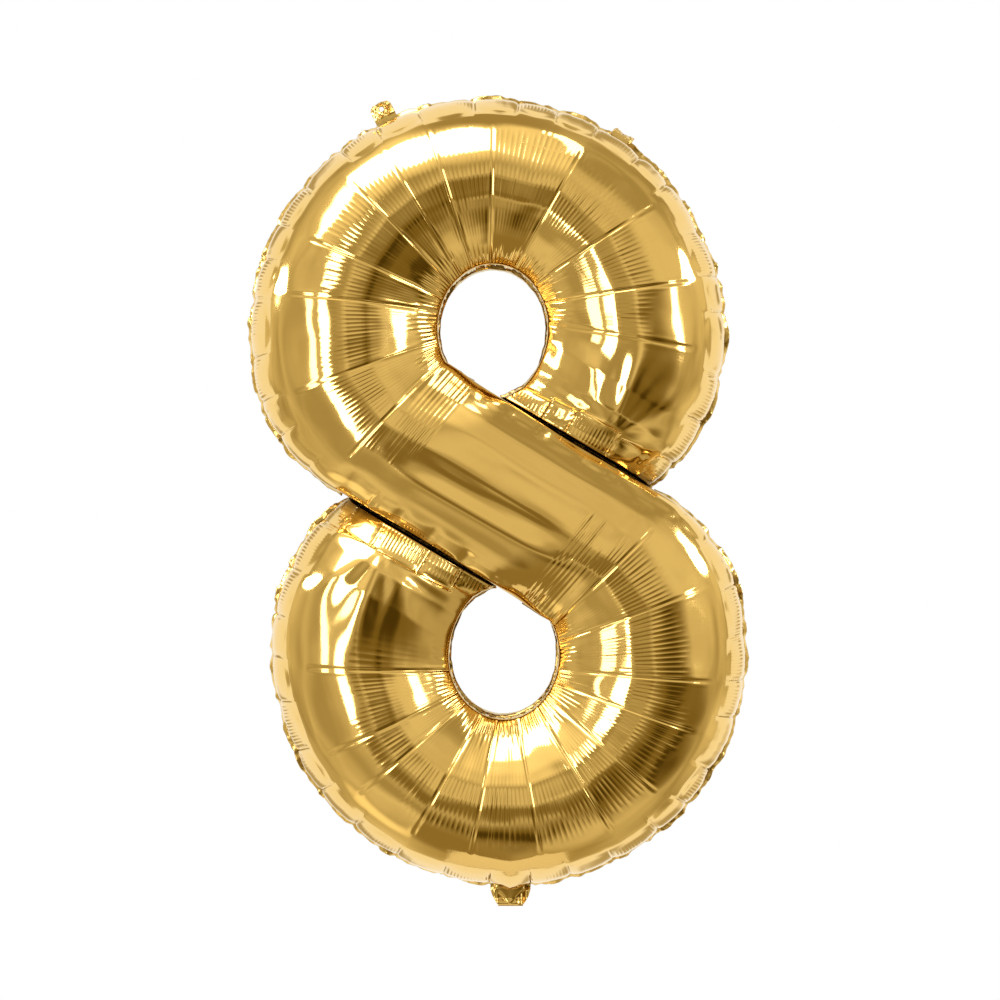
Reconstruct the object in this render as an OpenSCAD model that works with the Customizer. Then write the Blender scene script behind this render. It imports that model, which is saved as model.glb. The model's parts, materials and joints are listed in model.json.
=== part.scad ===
// Foil number balloon, figure eight: two film panels welded edge to edge, a
// self-sealing valve in the filling neck, and two tabs to hang it by.
// Millimetres. X right, Z up, the front faces -Y. The origin is the centre of
// the whole object's box. The figure is one tube in the shape of an S: each of
// its ends curls round a hole and stops at a weld line beside the middle stroke.
// The lower half is the upper half turned half way round about the figure's centre.

/* [Figure] */
// Radius of a loop, from its centre to the outer edge of the inflated film
loop_r = 252; // [240:1:262]
// Height of a loop's centre above the centre of the figure
loop_up = 165.3; // [160:0.1:172]
// Distance of a loop's centre to one side of the centre of the figure
loop_side = 11.5; // [8:0.1:15]
// Half the width of a hole, between the film's inner edges
hole_half_w = 58; // [54:0.5:62]
// Half the height of a hole, between the film's inner edges
hole_half_h = 68; // [64:0.5:72]
// Distance of a hole's centre to one side of the centre of the figure
hole_side = 5.6; // [3:0.1:8]
// Height of a hole's centre above the centre of the figure
hole_up = 171.2; // [168:0.1:175]
// Half the depth of the inflated tube, front to back
half_depth = 86; // [60:1:95]
// How far the middle stroke is drawn in between its ends
waist_sag = 6; // [3:0.5:9]

/* [Film and welds] */
// Thickness of one film panel
film_t = 0.4; // [0.3:0.1:0.8]
// Thickness of a welded margin, both films and the weld between them
seam_t = 1.2; // [0.9:0.1:2]
// Width of the welded margin outside the film's outer edge
margin = 5; // [3:0.5:8]
// Width of the welded margin inside a hole
hole_margin = 4; // [2:0.5:6]
// Width of weld under the edge of the inflated film
weld_under = 2; // [1:0.5:3]
// Radius over which a lobe closes down to its weld line
lobe_close_r = 80; // [60:1:90]

/* [Filling neck] */
// Distance of the neck to one side of the centre of the figure
neck_side = 13; // [5:0.5:20]
// Width of the neck and of its flap
neck_w = 40; // [34:1:46]
// Length of the neck, from the crease at its root to the crease at the flap
neck_l = 17; // [12:0.5:24]
// Length of the flap beyond its crease
flap_l = 40; // [25:1:42]
// Angle that the flap is folded behind the balloon, from straight down
flap_fold = 115; // [90:1:118]
// Width of the weld along each side of the neck
neck_weld_w = 4; // [2:0.5:6]

/* [Valve] */
// Width of the valve's films
valve_w = 30; // [24:1:32]
// Length of the valve inside the balloon
valve_l = 120; // [80:1:140]
// Width of the weld along each side of the valve
valve_weld_w = 3; // [2:0.5:5]
// Length of the release coating between the valve's films
coating_l = 28; // [15:1:40]
// Thickness of one valve film
valve_film_t = 0.3; // [0.2:0.05:0.35]
// Thickness of the release coating
coating_t = 0.2; // [0.1:0.05:0.2]

/* [Hanging tabs] */
// Width of a tab
tab_w = 24; // [18:1:30]
// Length of a tab beyond its crease
tab_l = 16; // [13:0.5:20]
// Diameter of the hole in a tab
tab_hole_d = 5; // [3:0.5:6]
// Distance of the hole from the crease
tab_hole_at = 9; // [7:0.5:10]
// Place of the left tab on the upper loop, in degrees from the right
tab_left_at = 115; // [100:1:130]
// Place of the right tab on the upper loop, in degrees from the right
tab_right_at = 56; // [50:1:80]
// Angle that the right tab is folded back
tab_right_fold = 75; // [0:1:80]

/* [Hidden] */
$fn = 48;

gold = "#d4a63c";
pale_gold = "#e6c46a";
clear_film = "#d9dde0";
coating_blue = "#7f95a8";

// Gap left at a crease between two pieces that fold
crease_gap = 0.3;
// Gap left above the flap's crease, where the film turns back on itself
fold_gap = 1;
// Radius of the flap's and of a tab's outer corners
flap_corner_r = 5;
tab_corner_r = 6;
// Radius of the rolled crease at the root of a folding piece
crease_r = seam_t / 2;
// Thickness of one ply of a folding piece
ply_t = seam_t / 3;

// Upper loop: the outer edge runs from the lobe's corner to the waist
loop_c = [-loop_side, loop_up];
hole_c = [-hole_side, hole_up];
lobe_angle = -41.9;
waist_angle = 227.3;
// How far the outer edge falls short of the circle at those two ends
lobe_drop = 20;
waist_drop = 25.5;
// The outer edge leaves the circle this many degrees from its middle
drop_from = 95;
drop_span = 40;
// How many degrees the inner end of a section lags behind its outer end
lobe_lag = 39.1;
waist_lag = 11.5;
lobe_lag_share = 0.35;
waist_lag_share = 0.25;

fan_steps = 54;
stroke_steps = 12;
across_steps = 14;

function dir(a) = [cos(a), sin(a)];
function unit(v) = v / norm(v);
function mix(a, b, t) = a + (b - a) * t;
function dot2(a, b) = a[0] * b[0] + a[1] * b[1];

// Outer edge of the upper loop at angle a about the loop's centre
function edge_drop(a) =
    let (middle = (lobe_angle + waist_angle) / 2, past = max(0, abs(a - middle) - drop_from))
    (a < middle ? lobe_drop : waist_drop) * pow(past / drop_span, 2);
function outer_edge(a, out = 0) = loop_c + (loop_r - edge_drop(a) + out) * dir(a);

// Inner edge of the upper loop at angle a about the hole's centre
function hole_r(a) =
    hole_half_w * hole_half_h / norm([hole_half_h * cos(a), hole_half_w * sin(a)]);
function inner_edge(a, out = 0) = hole_c + (hole_r(a) + out) * dir(a);

// Section t of the upper loop, from 0 at the lobe's end to 1 at the waist
function fan_outer_angle(t) = mix(lobe_angle, waist_angle, t);
function fan_inner_angle(t) =
    fan_outer_angle(t)
    - lobe_lag * pow(max(0, 1 - t / lobe_lag_share), 2)
    - waist_lag * pow(max(0, 1 - (1 - t) / waist_lag_share), 2);
function fan_section(t) = [inner_edge(fan_inner_angle(t)), outer_edge(fan_outer_angle(t))];

// Middle stroke: its upper edge runs from the upper hole to the waist on the right
stroke_from = inner_edge(fan_inner_angle(1));
stroke_to = -outer_edge(waist_angle);
stroke_along = unit(stroke_to - stroke_from);
stroke_up = [-stroke_along[1], stroke_along[0]];
function stroke_edge(u, out = 0) =
    mix(stroke_from, stroke_to, u) + (out - waist_sag * 4 * u * (1 - u)) * stroke_up;
function stroke_section(u) = [stroke_edge(u), -stroke_edge(1 - u)];

// The lobe's end: a line from its inner corner to its outer one
lobe_in = inner_edge(fan_inner_angle(0));
lobe_out = outer_edge(lobe_angle);
lobe_along = unit(lobe_out - lobe_in);
lobe_up = [-lobe_along[1], lobe_along[0]];
// Where along the stroke's upper edge the hole ends and the weld line begins
hole_tip = dot2(lobe_in - stroke_from, stroke_along) / norm(stroke_to - stroke_from);

// Every section of the tube, each as its two ends, from the upper lobe to the lower one
upper_sections = [for (i = [0 : fan_steps]) fan_section(i / fan_steps)];
stroke_sections = [for (i = [1 : stroke_steps - 1]) stroke_section(i / stroke_steps)];
lower_sections = [for (i = [fan_steps : -1 : 0])
    [-upper_sections[i][1], -upper_sections[i][0]]];
sections = concat(upper_sections, stroke_sections, lower_sections);
last = len(sections) - 1;

// Share of the full depth at point p, which falls to nothing at a lobe's end
function closing(d) = d >= lobe_close_r ? 1 : sqrt(1 - pow(1 - max(0, d) / lobe_close_r, 2));
function depth_share(i, p) =
    i <= fan_steps / 2 ? closing(dot2(p - lobe_in, lobe_up))
    : i >= last - fan_steps / 2 ? closing(dot2(-p - lobe_in, lobe_up))
    : 1;

// Point j of section i on the film's outer face, or on its inner face
function film_point(i, j, inside) =
    let (
        a = sections[i][0],
        b = sections[i][1],
        angle = 180 * j / across_steps,
        reach = norm(b - a) / 2 - (inside ? film_t : 0),
        p = (a + b) / 2 - reach * cos(angle) * unit(b - a),
        rise = (half_depth - film_t) * depth_share(i, p) * sin(angle),
        skin = inside ? 0 : film_t * sin(angle)
    )
    [p[0], -seam_t / 2 - rise - skin, p[1]];

// One film panel: its outer and inner faces, joined along both edges and both ends
module film_panel() {
    row = across_steps + 1;
    grid = (last + 1) * row;
    outer = [for (i = [0 : last]) for (j = [0 : across_steps]) film_point(i, j, false)];
    inner = [for (i = [0 : last]) for (j = [0 : across_steps]) film_point(i, j, true)];
    function at(i, j, face) = face * grid + i * row + j;
    faces = concat(
        [for (i = [0 : last - 1]) for (j = [0 : across_steps - 1]) for (half = [0, 1])
            half == 0 ? [at(i, j, 0), at(i + 1, j, 0), at(i + 1, j + 1, 0)]
                : [at(i, j, 0), at(i + 1, j + 1, 0), at(i, j + 1, 0)]],
        [for (i = [0 : last - 1]) for (j = [0 : across_steps - 1]) for (half = [0, 1])
            half == 0 ? [at(i, j, 1), at(i + 1, j + 1, 1), at(i + 1, j, 1)]
                : [at(i, j, 1), at(i, j + 1, 1), at(i + 1, j + 1, 1)]],
        [for (i = [0 : last - 1]) for (half = [0, 1])
            half == 0 ? [at(i, 0, 0), at(i, 0, 1), at(i + 1, 0, 1)]
                : [at(i, 0, 0), at(i + 1, 0, 1), at(i + 1, 0, 0)]],
        [for (i = [0 : last - 1]) for (half = [0, 1])
            half == 0 ? [at(i, across_steps, 0), at(i + 1, across_steps, 1), at(i, across_steps, 1)]
                : [at(i, across_steps, 0), at(i + 1, across_steps, 0), at(i + 1, across_steps, 1)]],
        [for (j = [0 : across_steps - 1]) for (half = [0, 1])
            half == 0 ? [at(0, j, 0), at(0, j + 1, 0), at(0, j + 1, 1)]
                : [at(0, j, 0), at(0, j + 1, 1), at(0, j, 1)]],
        [for (j = [0 : across_steps - 1]) for (half = [0, 1])
            half == 0 ? [at(last, j, 0), at(last, j + 1, 1), at(last, j + 1, 0)]
                : [at(last, j, 0), at(last, j, 1), at(last, j + 1, 1)]]
    );
    polyhedron(points = concat(outer, inner), faces = faces, convexity = 8);
}

// Flat outlines in the plane of the welds, grown by out
function outline_half(out) = [for (s = upper_sections) s[1]
    + out * unit(s[1] - loop_c)];
module figure_outline(out) {
    half = outline_half(out);
    polygon(concat(half, -half));
}
module hole_outline(out) {
    polygon(concat(
        [for (s = upper_sections) s[0] + out * unit(s[0] - hole_c)],
        [for (u = [1 : 4]) stroke_edge(hole_tip * u / 4, -out)]
    ));
}
module divider_outline() {
    steps = 10;
    polygon(concat(
        [lobe_in + weld_under * lobe_up, lobe_out + weld_under * lobe_up],
        [for (i = [steps : -1 : 0]) stroke_edge(mix(hole_tip, 1, i / steps), -weld_under)]
    ));
}

// A flat piece drawn in X and Z, from one depth to another
module flat(from, to) {
    translate([0, to, 0]) rotate([90, 0, 0]) linear_extrude(height = to - from) children();
}
module lower_half() {
    rotate([0, 180, 0]) children();
}

module margin_band() {
    difference() {
        figure_outline(margin);
        figure_outline(-weld_under);
    }
}
module hole_band() {
    difference() {
        hole_outline(weld_under);
        hole_outline(-hole_margin);
    }
}
module divider_band() {
    intersection() {
        difference() {
            divider_outline();
            hole_outline(weld_under);
        }
        figure_outline(-weld_under);
    }
}

// Depths of the layers where the valve passes through the weld
half_coating = coating_t / 2;
valve_out = half_coating + valve_film_t;
// Height of the margin's lowest point, under the middle of the lower loop
margin_low = -loop_up - loop_r - margin;
module valve_strip(from, to, width = valve_w) {
    translate([neck_side - width / 2, from]) square([width, to - from]);
}
module valve_film_shape() {
    intersection() {
        valve_strip(margin_low, margin_low + margin + valve_l);
        figure_outline(margin);
    }
}
module valve_seal_shape() {
    intersection() {
        margin_band();
        valve_strip(margin_low, margin_low + margin + 2 * weld_under);
    }
}

module front_panel() {
    color(gold) film_panel();
}
module back_panel() {
    color(gold) mirror([0, 1, 0]) film_panel();
}
module outer_seam() {
    color(pale_gold) flat(-seam_t / 2, seam_t / 2) difference() {
        margin_band();
        valve_strip(margin_low - margin, margin_low + 2 * margin);
    }
}
module upper_hole_seam() {
    color(pale_gold) flat(-seam_t / 2, seam_t / 2) hole_band();
}
module lower_hole_seam() {
    color(pale_gold) lower_half() flat(-seam_t / 2, seam_t / 2) hole_band();
}
module upper_divider_seam() {
    color(pale_gold) flat(-seam_t / 2, seam_t / 2) divider_band();
}
module lower_divider_seam() {
    color(pale_gold) lower_half() flat(-seam_t / 2, seam_t / 2) divider_band();
}

module valve_front_film() {
    color(clear_film) flat(-valve_out, -half_coating) valve_film_shape();
}
module valve_back_film() {
    color(clear_film) flat(half_coating, valve_out) valve_film_shape();
}
module valve_side_welds() {
    color(clear_film) flat(-half_coating, half_coating) difference() {
        valve_film_shape();
        valve_strip(margin_low - margin, 0, valve_w - 2 * valve_weld_w);
    }
}
module valve_release_coating() {
    color(coating_blue) flat(-half_coating, half_coating) intersection() {
        valve_strip(margin_low, margin_low + coating_l, valve_w - 2 * valve_weld_w);
        figure_outline(margin);
    }
}
module valve_front_seal() {
    color(pale_gold) flat(-seam_t / 2, -valve_out) valve_seal_shape();
}
module valve_back_seal() {
    color(pale_gold) flat(valve_out, seam_t / 2) valve_seal_shape();
}

// Creases: the neck's under the margin, and the flap's at the end of the neck
neck_crease_z = margin_low - crease_gap - crease_r;
flap_crease_z = neck_crease_z - neck_l;

// A folding strip that hangs from a rolled crease along X at the origin
module folding_strip(width, length, corner_r) {
    rotate([0, 90, 0]) cylinder(r = crease_r, h = width, center = true);
    flat(-crease_r, crease_r) {
        translate([-width / 2, corner_r - length]) square([width, length - corner_r]);
        if (corner_r > 0) {
            translate([corner_r - width / 2, -length]) square([width - 2 * corner_r, corner_r]);
            for (side = [-1, 1])
                translate([side * (width / 2 - corner_r), corner_r - length]) circle(r = corner_r);
        }
    }
}
// The layer of a folding strip from one depth to another
module layer(from, to) {
    intersection() {
        children();
        translate([-neck_w, from, -2 * flap_l]) cube([2 * neck_w, to - from, 3 * flap_l]);
    }
}
module channel(length) {
    translate([-neck_w / 2 + neck_weld_w, -seam_t, -2 * length])
        cube([neck_w - 2 * neck_weld_w, 2 * seam_t, 3 * length]);
}
module neck_strip() {
    folding_strip(neck_w, neck_l - crease_r - fold_gap, 0);
}
module flap_strip() {
    folding_strip(neck_w, flap_l, flap_corner_r);
}
module at_neck() {
    translate([neck_side, 0, neck_crease_z]) children();
}
module at_flap() {
    translate([neck_side, 0, flap_crease_z]) rotate([flap_fold, 0, 0]) children();
}

module neck_front_film() {
    color(gold) at_neck() layer(-crease_r, -crease_r + ply_t) neck_strip();
}
module neck_back_film() {
    color(gold) at_neck() layer(crease_r - ply_t, crease_r) neck_strip();
}
module neck_side_welds() {
    color(pale_gold) at_neck() difference() {
        layer(-crease_r + ply_t, crease_r - ply_t) neck_strip();
        channel(neck_l);
    }
}
module flap_front_film() {
    color(gold) at_flap() layer(-crease_r, -crease_r + ply_t) flap_strip();
}
module flap_back_film() {
    color(gold) at_flap() layer(crease_r - ply_t, crease_r) flap_strip();
}
module flap_side_welds() {
    color(pale_gold) at_flap() difference() {
        layer(-crease_r + ply_t, crease_r - ply_t) flap_strip();
        channel(flap_l);
    }
}

// A tab that stands on its crease at the origin, with the hole for a thread
module tab() {
    difference() {
        union() {
            rotate([0, 90, 0]) cylinder(r = crease_r, h = tab_w, center = true);
            flat(-crease_r, crease_r) union() {
                translate([-tab_w / 2, 0]) square([tab_w, tab_l - tab_corner_r]);
                translate([tab_corner_r - tab_w / 2, 0]) square([tab_w - 2 * tab_corner_r, tab_l]);
                for (side = [-1, 1])
                    translate([side * (tab_w / 2 - tab_corner_r), tab_l - tab_corner_r])
                        circle(r = tab_corner_r);
            }
        }
        translate([0, 0, tab_hole_at]) rotate([90, 0, 0])
            cylinder(d = tab_hole_d, h = 4 * seam_t, center = true);
    }
}
module on_upper_loop(angle) {
    at = loop_c + (loop_r + margin + crease_gap + crease_r) * dir(angle);
    translate([at[0], 0, at[1]]) rotate([0, 90 - angle, 0]) children();
}
module hang_tab_left() {
    color(gold) on_upper_loop(tab_left_at) tab();
}
module hang_tab_right() {
    color(gold) on_upper_loop(tab_right_at) rotate([-tab_right_fold, 0, 0]) tab();
}

// Shift that puts the origin at the centre of the whole object's box
top_z = loop_up + loop_r + margin;
bottom_z = flap_crease_z - crease_r;
translate([0, 0, -(top_z + bottom_z) / 2]) {
    front_panel();
    back_panel();
    outer_seam();
    upper_hole_seam();
    lower_hole_seam();
    upper_divider_seam();
    lower_divider_seam();
    valve_front_film();
    valve_back_film();
    valve_side_welds();
    valve_release_coating();
    valve_front_seal();
    valve_back_seal();
    neck_front_film();
    neck_back_film();
    neck_side_welds();
    flap_front_film();
    flap_back_film();
    flap_side_welds();
    hang_tab_left();
    hang_tab_right();
}
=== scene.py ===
"""Foil number balloon, digit 8: puckered metallised film panels, crinkled welds,
hanging tabs and a folded filling neck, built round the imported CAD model."""

import bpy
import json
import math
import numpy as np
from mathutils import Matrix, Vector


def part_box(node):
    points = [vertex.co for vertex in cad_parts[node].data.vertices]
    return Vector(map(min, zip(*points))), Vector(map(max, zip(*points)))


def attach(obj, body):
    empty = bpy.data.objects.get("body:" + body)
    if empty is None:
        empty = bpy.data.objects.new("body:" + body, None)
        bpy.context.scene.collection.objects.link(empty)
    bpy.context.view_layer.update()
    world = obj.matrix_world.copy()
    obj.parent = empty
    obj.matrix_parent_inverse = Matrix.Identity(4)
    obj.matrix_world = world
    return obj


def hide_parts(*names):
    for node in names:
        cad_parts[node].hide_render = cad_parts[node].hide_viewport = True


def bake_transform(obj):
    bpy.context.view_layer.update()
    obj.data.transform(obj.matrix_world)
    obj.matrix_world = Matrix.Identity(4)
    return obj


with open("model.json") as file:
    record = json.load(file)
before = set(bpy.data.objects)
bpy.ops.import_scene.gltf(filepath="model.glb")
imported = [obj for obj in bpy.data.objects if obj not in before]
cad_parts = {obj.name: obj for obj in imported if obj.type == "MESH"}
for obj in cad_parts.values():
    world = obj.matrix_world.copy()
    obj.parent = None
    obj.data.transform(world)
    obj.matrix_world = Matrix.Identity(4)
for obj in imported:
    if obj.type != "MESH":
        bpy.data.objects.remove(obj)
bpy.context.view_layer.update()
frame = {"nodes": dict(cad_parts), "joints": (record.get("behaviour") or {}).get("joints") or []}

MM = 0.001
JOINT_AT = {joint["name"]: np.array(joint["pos_m"]) / MM for joint in frame["joints"]}

# --------------------------------------------------------------------------- camera
DISTANCE = 3.0
FRAME_HEIGHT = 1.0644
AIM_X, AIM_Z = 0.0018, 0.0005
SENSOR = 36.0
cam_data = bpy.data.cameras.new("camera")
cam_data.sensor_width = SENSOR
cam_data.lens = SENSOR * DISTANCE / FRAME_HEIGHT
cam = bpy.data.objects.new("camera", cam_data)
bpy.context.scene.collection.objects.link(cam)
cam.location = (AIM_X, -DISTANCE, AIM_Z)
cam.rotation_euler = (math.radians(90), 0, 0)
bpy.context.scene.camera = cam

# --------------------------------------------------------------------------- figure
# The same figure as the CAD model, in millimetres about the figure's centre.
panel_low, panel_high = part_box("front_panel")
SHIFT_Z = (panel_low[2] + panel_high[2]) / 2 / MM
LOOP_R = 252.0
LOOP_C = np.array([-11.5, 165.3])
HOLE_C = np.array([-5.6, 171.2])
HOLE_W, HOLE_H = 58.0, 68.0
HALF_DEPTH = 86.2
LOBE_ANGLE, WAIST_ANGLE = -41.9, 227.3
LOBE_DROP, WAIST_DROP = 20.0, 25.5
DROP_FROM, DROP_SPAN = 95.0, 40.0
WAIST_SAG = 1.6
LOBE_PUSH = 5.0
LOBE_HALF = 100.0
MARGIN = 5.5
NECK_SIDE = JOINT_AT["neck_bend"][0]
NECK_DIP, DIP_BELOW = 7.0, -300.0
HOLE_MARGIN = 3.4


def direction(deg):
    a = np.radians(deg)
    return np.stack([np.cos(a), np.sin(a)], axis=-1)


def unit(v):
    return v / np.maximum(np.linalg.norm(v, axis=-1, keepdims=True), 1e-9)


def crossed(grid):
    """Normals of a grid of points."""
    return unit(np.cross(np.gradient(grid, axis=0), np.gradient(grid, axis=1)))


def smooth(a, b, x):
    t = np.clip((x - a) / (b - a), 0, 1)
    return t * t * (3 - 2 * t)


def hann(n):
    kernel = np.hanning(n)
    return kernel / kernel.sum()


def outer_edge(g):
    middle = (LOBE_ANGLE + WAIST_ANGLE) / 2
    past = np.maximum(0, np.abs(g - middle) - DROP_FROM)
    drop = np.where(g < middle, LOBE_DROP, WAIST_DROP) * (past / DROP_SPAN) ** 2
    return LOOP_C + (LOOP_R - drop)[..., None] * direction(g)


def hole_edge(b):
    a = np.radians(b)
    r = HOLE_W * HOLE_H / np.hypot(HOLE_H * np.cos(a), HOLE_W * np.sin(a))
    return HOLE_C + r[..., None] * direction(b)


# How the folds fan out: the angle of a fold's outer end about the loop's centre,
# and of its inner end about the hole's centre.
FAN_OUT = np.array([LOBE_ANGLE, -30, -18, -5, 13, 37, 62, 88, 106, 120, 134, 153, 170, 198, WAIST_ANGLE])
FAN_IN = np.array([-81.0, -50, -20, 6, 26, 46, 69, 92, 109, 122, 134.5, 149, 162.5, 193.5, 215.8])


def fold_inner(g):
    fine = np.linspace(FAN_OUT[0], FAN_OUT[-1], 800)
    b = np.interp(fine, FAN_OUT, FAN_IN)
    ends = np.concatenate([2 * b[0] - b[1:31][::-1], b, 2 * b[-1] - b[-31:-1][::-1]])
    return np.interp(g, fine, np.convolve(ends, hann(61), "valid"))


stroke_from = hole_edge(np.array([FAN_IN[-1]]))[0]
waist_out = outer_edge(np.array([WAIST_ANGLE]))[0]
stroke_to = -waist_out
stroke_along = unit(stroke_to - stroke_from)
stroke_up = np.array([-stroke_along[1], stroke_along[0]])
STROKE_LEN = float(np.linalg.norm(stroke_to - stroke_from))


def stroke_edge(u):
    u = np.asarray(u, float)
    sag = WAIST_SAG * 4 * u * (1 - u)
    return stroke_from + u[..., None] * (stroke_to - stroke_from) - sag[..., None] * stroke_up


lobe_in = hole_edge(np.array([FAN_IN[0]]))[0]
lobe_out = outer_edge(np.array([LOBE_ANGLE]))[0]
lobe_along = unit(lobe_out - lobe_in)
lobe_up = np.array([-lobe_along[1], lobe_along[0]])
lobe_in = lobe_in - LOBE_PUSH * lobe_up
lobe_out = lobe_out - LOBE_PUSH * lobe_up
LOBE_LEN = float(np.linalg.norm(lobe_out - lobe_in))
HOLE_TIP = float((lobe_in - stroke_from) @ stroke_along) / STROKE_LEN


# --------------------------------------------------------------------------- noise
TABLE = 4096


def lattice(seed):
    return np.random.RandomState(seed).uniform(-1, 1, TABLE)


def noise1(x, seed):
    table = lattice(seed)
    i = np.floor(x).astype(int)
    f = x - i
    f = f * f * (3 - 2 * f)
    return table[i % TABLE] * (1 - f) + table[(i + 1) % TABLE] * f


def noise2(x, y, seed):
    table = lattice(seed)
    x, y = np.broadcast_arrays(x, y)
    i, j = np.floor(x).astype(int), np.floor(y).astype(int)
    fx, fy = x - i, y - j
    fx, fy = fx ** 3 * (fx * (fx * 6 - 15) + 10), fy ** 3 * (fy * (fy * 6 - 15) + 10)

    def at(a, b):
        return table[(a * 57 + b * 1009) % TABLE]

    low = at(i, j) * (1 - fx) + at(i + 1, j) * fx
    high = at(i, j + 1) * (1 - fx) + at(i + 1, j + 1) * fx
    return low * (1 - fy) + high * fy


def per_cell(cell, seed):
    return lattice(seed)[np.asarray(cell).astype(int) % TABLE]


# --------------------------------------------------------------------------- columns
RIB = 4.6
PER_RIB = 3
CREST_R = 157.0
UPPER_FOLDS = [-5, 13.3, 36.8, 62.2, 88.4, 106.3, 120, 132.6, 153, 169.8, 197.7, 222.6]
LOWER_FOLDS = [4, 29, 43, 62, 79, 99, 120, 136.6, 157, 172, 198.4, 221]


def loop_columns(folds):
    """Angles, rib counts and fold intervals of one loop's columns, from its lobe to its waist."""
    nodes = [LOBE_ANGLE] + list(folds) + [WAIST_ANGLE]
    g, rib, cell, frac = [], [], [], []
    count = 0
    for k in range(len(nodes) - 1):
        span = (nodes[k + 1] - nodes[k]) * math.pi / 180 * CREST_R
        ribs = max(1, round(span / RIB))
        steps = ribs * PER_RIB
        t = np.arange(steps) / steps
        if k == 0:
            t = t ** 1.5
        g.append(nodes[k] + (nodes[k + 1] - nodes[k]) * t)
        rib.append(count + np.arange(steps) / PER_RIB)
        cell.append(np.full(steps, k))
        frac.append(t)
        count += ribs
    g.append([nodes[-1]])
    rib.append([count])
    cell.append([len(nodes) - 2])
    frac.append([1.0])
    return [np.concatenate(a) for a in (g, rib, cell, frac)] + [nodes]


ROWS = 91
phi = np.linspace(0, 180, ROWS)

up_g, up_rib, up_cell, up_frac, up_nodes = loop_columns(UPPER_FOLDS)
lo_g, lo_rib, lo_cell, lo_frac, lo_nodes = loop_columns(LOWER_FOLDS)
NU = len(up_g)


def loop_ends(g):
    push = (LOBE_PUSH * (1 - smooth(LOBE_ANGLE, 5, g)))[:, None] * lobe_up
    return hole_edge(fold_inner(g)) - push, outer_edge(g) - push


# The stroke's columns stand close together over each end, where it has ribs.
END_FINE = 44.0 / STROKE_LEN
END_STEPS, MIDDLE_STEPS = 36, 33
stroke_u = np.concatenate([
    np.arange(1, END_STEPS) / END_STEPS * END_FINE,
    END_FINE + (1 - 2 * END_FINE) * np.arange(1, MIDDLE_STEPS) / MIDDLE_STEPS,
    1 - np.arange(END_STEPS - 1, 0, -1) / END_STEPS * END_FINE,
])
up_a, up_b = loop_ends(up_g)
lo_a, lo_b = loop_ends(lo_g)
st_a, st_b = stroke_edge(stroke_u), -stroke_edge(1 - stroke_u)
line_a = np.concatenate([up_a, st_a, (-lo_b)[::-1]])
line_b = np.concatenate([up_b, st_b, (-lo_a)[::-1]])
COLS = len(line_a)
NS = len(stroke_u)
UP = slice(0, NU)
LO = slice(NU + NS, COLS)

# Share of the full depth reached at a distance from a lobe's end, rounded off a little.
CLOSE_D = np.arange(0, 120, 0.25)
CLOSE_Y = np.interp(CLOSE_D, [0, 0.5, 1.2, 2.2, 12, 25, 31, 46, 74],
                    [0, 0.52, 0.665, 0.70, 0.775, 0.84, 0.88, 0.955, 1])
CLOSE_Y[3:-3] = np.convolve(CLOSE_Y, hann(9)[1:-1], "valid")

# The same beside a hole or a divider: a short wall, then a slope that eases off.
EDGE_X = np.arange(0, 98, 0.1)
HOLE_HALF = 97.0


def wall_and_slope(wall, width, at, share):
    slope = np.pad(np.interp(EDGE_X, at, share), 50, mode="reflect", reflect_type="odd")
    return wall * (1 - np.exp(-EDGE_X / width)) + np.convolve(slope, hann(101), "valid")


HOLE_Y = wall_and_slope(0.438, 0.6, [0, 14, 24, 36, 46, 60, 75, 97],
                        [0, 0.133, 0.227, 0.322, 0.390, 0.467, 0.529, 0.562])
PRESS_Y = wall_and_slope(0.655, 0.35, [0, 4, 10, 20, 35, 60, 97],
                         [0, 0.028, 0.078, 0.150, 0.228, 0.302, 0.345])
# How much blunter than round the film stands up at the waist.
WAIST_BLUNT = 0.42
HOLE_BULGE = 4.5


def column(value):
    return np.asarray(value, float).reshape(-1, 1)


def overhang(psi):
    """How far the film beside a hole bulges back over its weld."""
    return -HOLE_BULGE * (1 - smooth(25, 75, psi)) + (HOLE_BULGE + 0.4) * (1 - smooth(0, 22, psi))


def section(a, b, side_a, side_b, turn=0, lobe_side=True):
    """Undisturbed film over the columns that end at a and b. Each side gives its shares of a hole's
    wall, the waist's bluntness, an overhang and a divider's wall. turn is 1 or -1 in a loop."""
    rad = np.radians(phi)
    middle, reach = (a + b) / 2, (b - a) / 2
    flat = middle[:, None, :] - reach[:, None, :] * np.cos(rad)[:, None]
    sides = ((phi, *side_a), (180 - phi, *side_b))
    shift = sum(sign * column(over) * overhang(psi)
                for sign, (psi, _, _, over, _) in zip((1, -1), sides))
    flat = flat + shift[..., None] * unit(reach)[:, None, :]
    power = 1.0
    for psi, _, blunt, _, _ in sides:
        power = power - column(blunt) * (1 - smooth(10, 88, psi))
    rise = np.clip(np.sin(rad), 0, 1) ** power
    for psi, hole, _, _, press in sides:
        out = HOLE_HALF * (1 - np.cos(np.radians(psi)))
        for share, profile in ((hole, HOLE_Y), (press, PRESS_Y)):
            rise = rise + column(share) * np.where(psi < 90, np.interp(out, EDGE_X, profile) - rise, 0)
    if turn:
        closed = np.interp((turn * flat - lobe_in) @ lobe_up, CLOSE_D, CLOSE_Y)
        rise = rise * np.where(column(lobe_side), closed, 1.0)
    return np.stack([flat[..., 0], -HALF_DEPTH * rise, flat[..., 1]], axis=-1)


def loop_section(g, is_lo):
    a, b = loop_ends(g)
    at_hole, at_rim = (1, 0, hole_over(g), 0), (0, waist(g), 0, pressed_waist(g))
    if is_lo:
        return section(-b, -a, at_rim, at_hole, -1, g < LOBE_HALF)
    return section(a, b, at_hole, at_rim, 1, g < LOBE_HALF)


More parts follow.
